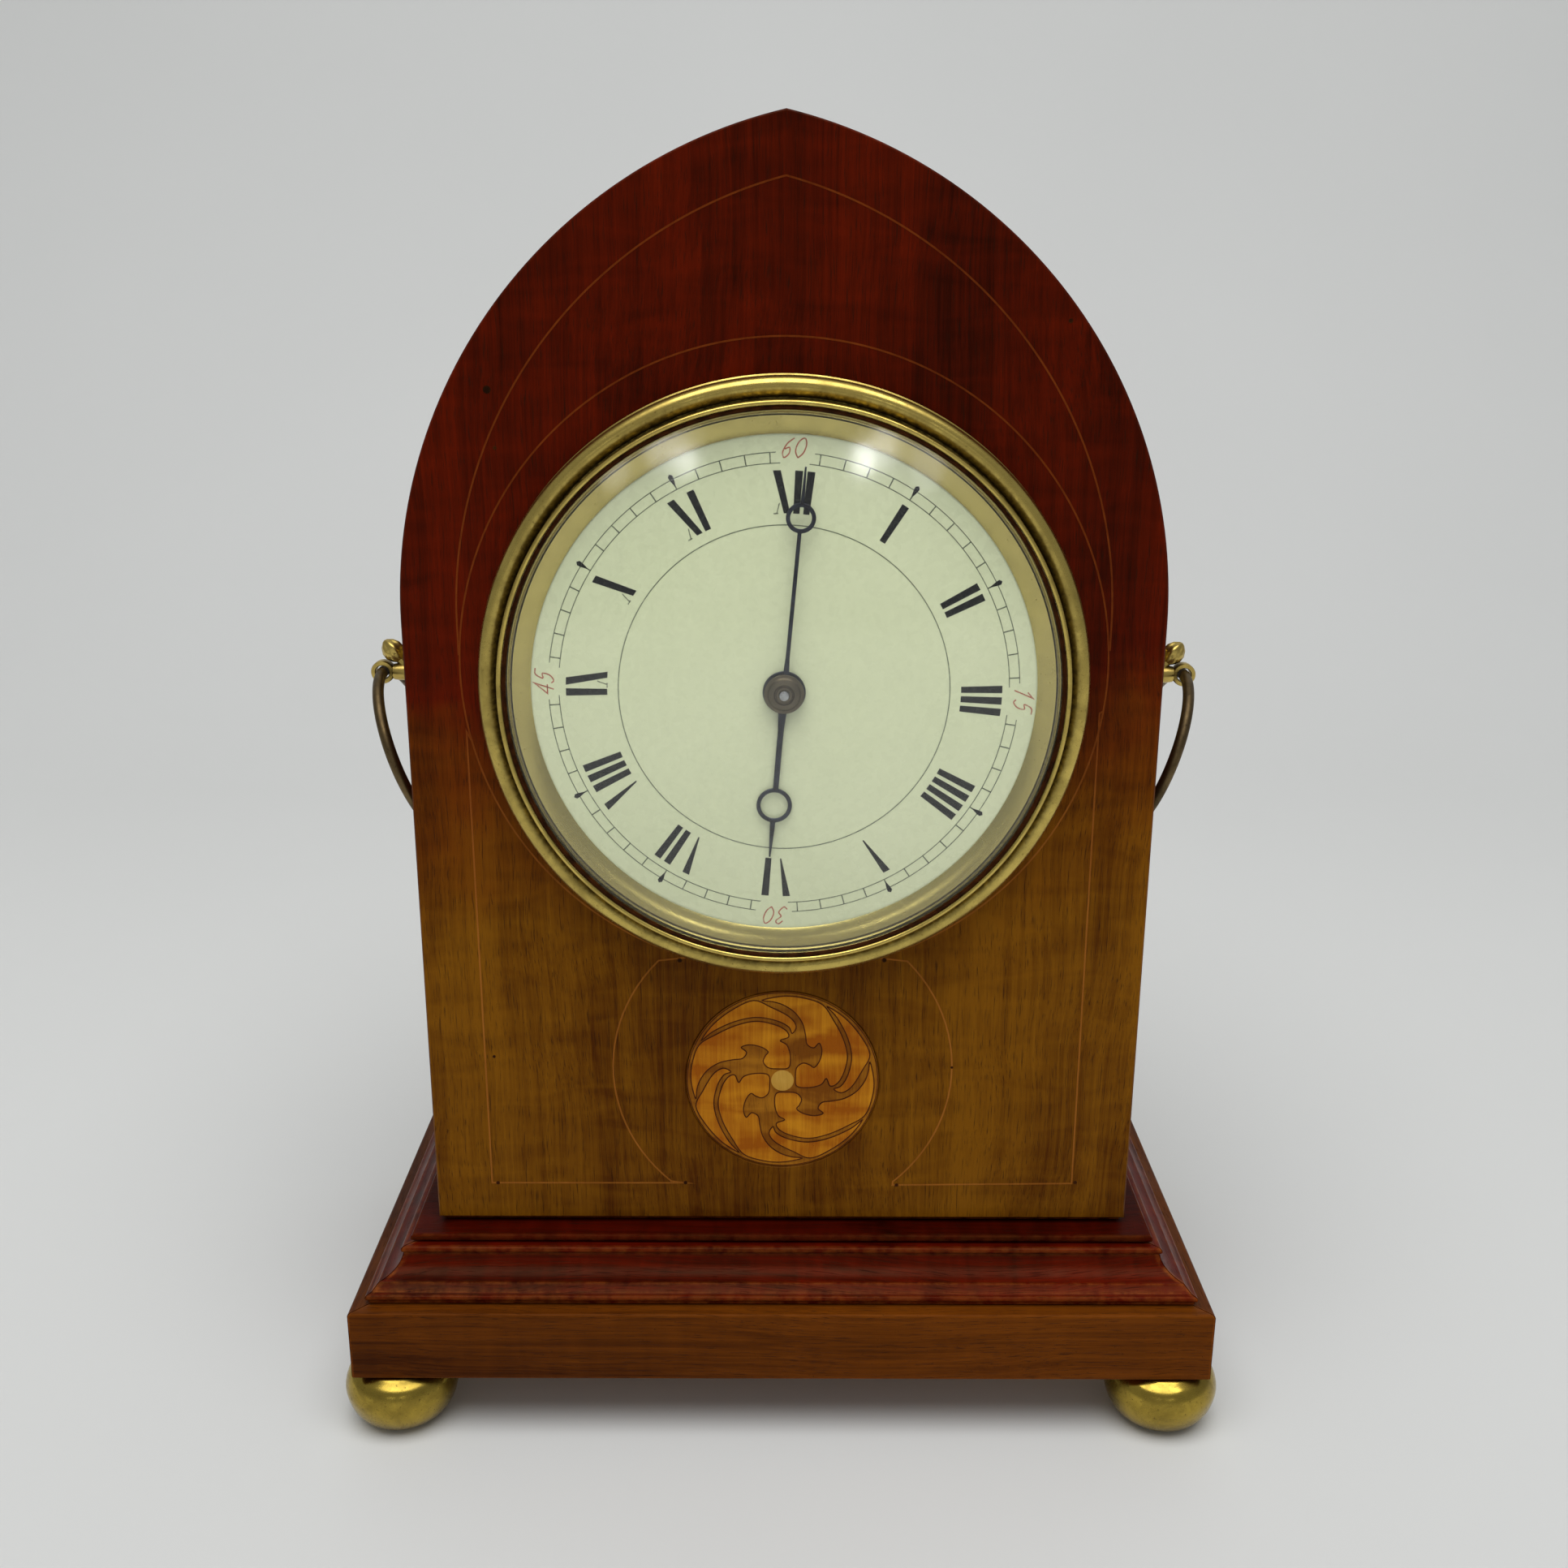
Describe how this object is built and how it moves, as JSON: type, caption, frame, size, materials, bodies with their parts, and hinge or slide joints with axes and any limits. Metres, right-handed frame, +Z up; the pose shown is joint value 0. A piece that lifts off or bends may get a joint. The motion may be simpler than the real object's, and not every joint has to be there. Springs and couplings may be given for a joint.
{
  "type": "bracket clock",
  "caption": "Pointed-arch wooden mantel clock on a moulded plinth with bun feet, a round glazed dial, side ring handles, a hinged back door and a wound lever movement.",
  "frame": {"origin": "centre of the whole clock's bounding box in plan, on the surface that the feet stand on", "axes": "+Z up, the dial faces -Y, +X is to the right of someone looking at the dial"},
  "size_m": [0.2282, 0.1468, 0.3222],
  "materials": {
    "mahogany": "polished veneer",
    "mahogany_dark": "polished",
    "pine": "plain, unfinished",
    "satinwood": "polished marquetry",
    "brass": "aged, lacquered",
    "steel": "polished",
    "blued_steel": "blued, nearly black",
    "enamel": "fired cream enamel",
    "glass": "clear, convex"
  },
  "bodies": {
    "case": {"ledge_board": "mahogany_dark", "moulding_front": "mahogany", "moulding_left": "mahogany", "moulding_right": "mahogany", "plinth_front": "mahogany", "plinth_left": "mahogany", "plinth_right": "mahogany", "plinth_back": "pine", "base_board": "pine", "foot_front_left": "brass", "foot_front_right": "brass", "foot_back_left": "brass", "foot_back_right": "brass", "case_floor": "pine", "front_panel": "mahogany", "case_side_left": "mahogany", "case_side_right": "mahogany", "back_panel": "mahogany_dark", "patera": "satinwood", "handle_mount_left": "brass", "handle_mount_right": "brass", "bezel": "brass", "sight_ring": "brass", "crystal": "glass", "enamel_dial": "enamel", "dial_plate": "brass", "front_plate": "brass", "back_plate": "brass", "click_spring": "steel", "hairspring": "blued_steel", "balance_cock": "brass", "strap_top": "brass", "strap_bottom": "brass", "strap_screw_top": "steel", "strap_screw_bottom": "steel", "back_ring": "brass", "door_hinge_pin": "steel"},
    "hands_arbor": {"centre_wheel": "brass", "cannon_pinion": "steel", "minute_hand": "blued_steel", "hand_collet": "brass", "setting_knob": "brass"},
    "hour_work": {"hour_wheel": "brass", "hour_hand": "blued_steel"},
    "minute_work": {"minute_wheel": "brass"},
    "intermediate_arbor": {"intermediate_wheel": "brass"},
    "going_barrel": {"barrel": "brass"},
    "winding_arbor": {"barrel_arbor": "steel", "ratchet_wheel": "steel"},
    "third_arbor": {"third_wheel": "brass"},
    "fourth_arbor": {"fourth_wheel": "brass"},
    "escape_arbor": {"escape_wheel": "steel"},
    "pallet_lever": {"lever": "steel"},
    "balance": {"balance_wheel": "brass"},
    "ratchet_click": {"click": "steel"},
    "door": {"back_door": "brass", "door_knob": "brass"},
    "ring_left": {"handle_ring_left": "brass"},
    "ring_right": {"handle_ring_right": "brass"}
  },
  "joints": [
    {"name": "hand_turn", "type": "hinge", "parent": "case", "child": "hands_arbor", "pos_m": [0, -0.0123, 0.1954], "axis": [0, 1, 0], "continuous": true},
    {"name": "hour_turn", "type": "hinge", "parent": "case", "child": "hour_work", "pos_m": [0, -0.0457, 0.1954], "axis": [0, 1, 0], "continuous": true},
    {"name": "minute_wheel_turn", "type": "hinge", "parent": "case", "child": "minute_work", "pos_m": [0.00983, -0.0432, 0.18852], "axis": [0, 1, 0], "continuous": true},
    {"name": "intermediate_turn", "type": "hinge", "parent": "case", "child": "intermediate_arbor", "pos_m": [0.01345, -0.0166, 0.19153], "axis": [0, 1, 0], "continuous": true},
    {"name": "barrel_turn", "type": "hinge", "parent": "case", "child": "going_barrel", "pos_m": [0, -0.0289, 0.1754], "axis": [0, 1, 0], "continuous": true},
    {"name": "third_turn", "type": "hinge", "parent": "case", "child": "third_arbor", "pos_m": [-0.00648, -0.0204, 0.20662], "axis": [0, 1, 0], "continuous": true},
    {"name": "fourth_turn", "type": "hinge", "parent": "case", "child": "fourth_arbor", "pos_m": [0.00358, -0.0265, 0.21029], "axis": [0, 1, 0], "continuous": true},
    {"name": "escape_turn", "type": "hinge", "parent": "case", "child": "escape_arbor", "pos_m": [0.01316, -0.0226, 0.21197], "axis": [0, 1, 0], "continuous": true},
    {"name": "winding_turn", "type": "hinge", "parent": "case", "child": "winding_arbor", "pos_m": [0, -0.0075, 0.1754], "axis": [0, 1, 0], "continuous": true},
    {"name": "click_lift", "type": "hinge", "parent": "case", "child": "ratchet_click", "pos_m": [0.01123, -0.0075, 0.1707], "axis": [0, 1, 0], "range_deg": [0, 12], "stiffness_Nm_per_rad": 0.001, "springref_deg": -11.46, "deforming": ["click_spring"]},
    {"name": "balance_swing", "type": "hinge", "parent": "case", "child": "balance", "pos_m": [0.00077, -0.0059, 0.22132], "axis": [0, 1, 0], "range_deg": [-30, 30], "stiffness_Nm_per_rad": 0.0000063, "deforming": ["hairspring"]},
    {"name": "lever_rock", "type": "hinge", "parent": "case", "child": "pallet_lever", "pos_m": [0.00995, -0.0226, 0.21886], "axis": [0, 1, 0], "range_deg": [-6, 6]},
    {"name": "back_door_hinge", "type": "hinge", "parent": "case", "child": "door", "pos_m": [-0.0496, 0.0669, 0.1954], "axis": [0, 0, 1], "range_deg": [0, 110]},
    {"name": "ring_left_swing", "type": "hinge", "parent": "case", "child": "ring_left", "pos_m": [-0.1078, 0.0031, 0.1865], "axis": [0, 1, 0], "range_deg": [0, 220]},
    {"name": "ring_right_swing", "type": "hinge", "parent": "case", "child": "ring_right", "pos_m": [0.1078, 0.0031, 0.1865], "axis": [0, -1, 0], "range_deg": [0, 220]}
  ],
  "couplings": [
    {"joint": "hour_turn", "follows": "hand_turn", "ratio": 0.083333},
    {"joint": "minute_wheel_turn", "follows": "hand_turn", "ratio": -0.33333},
    {"joint": "intermediate_turn", "follows": "hand_turn", "ratio": -0.16667},
    {"joint": "barrel_turn", "follows": "hand_turn", "ratio": 0.027778},
    {"joint": "third_turn", "follows": "hand_turn", "ratio": -8},
    {"joint": "fourth_turn", "follows": "hand_turn", "ratio": 60},
    {"joint": "escape_turn", "follows": "hand_turn", "ratio": -480},
    {"joint": "lever_rock", "follows": "balance_swing", "ratio": -0.2}
  ]
}
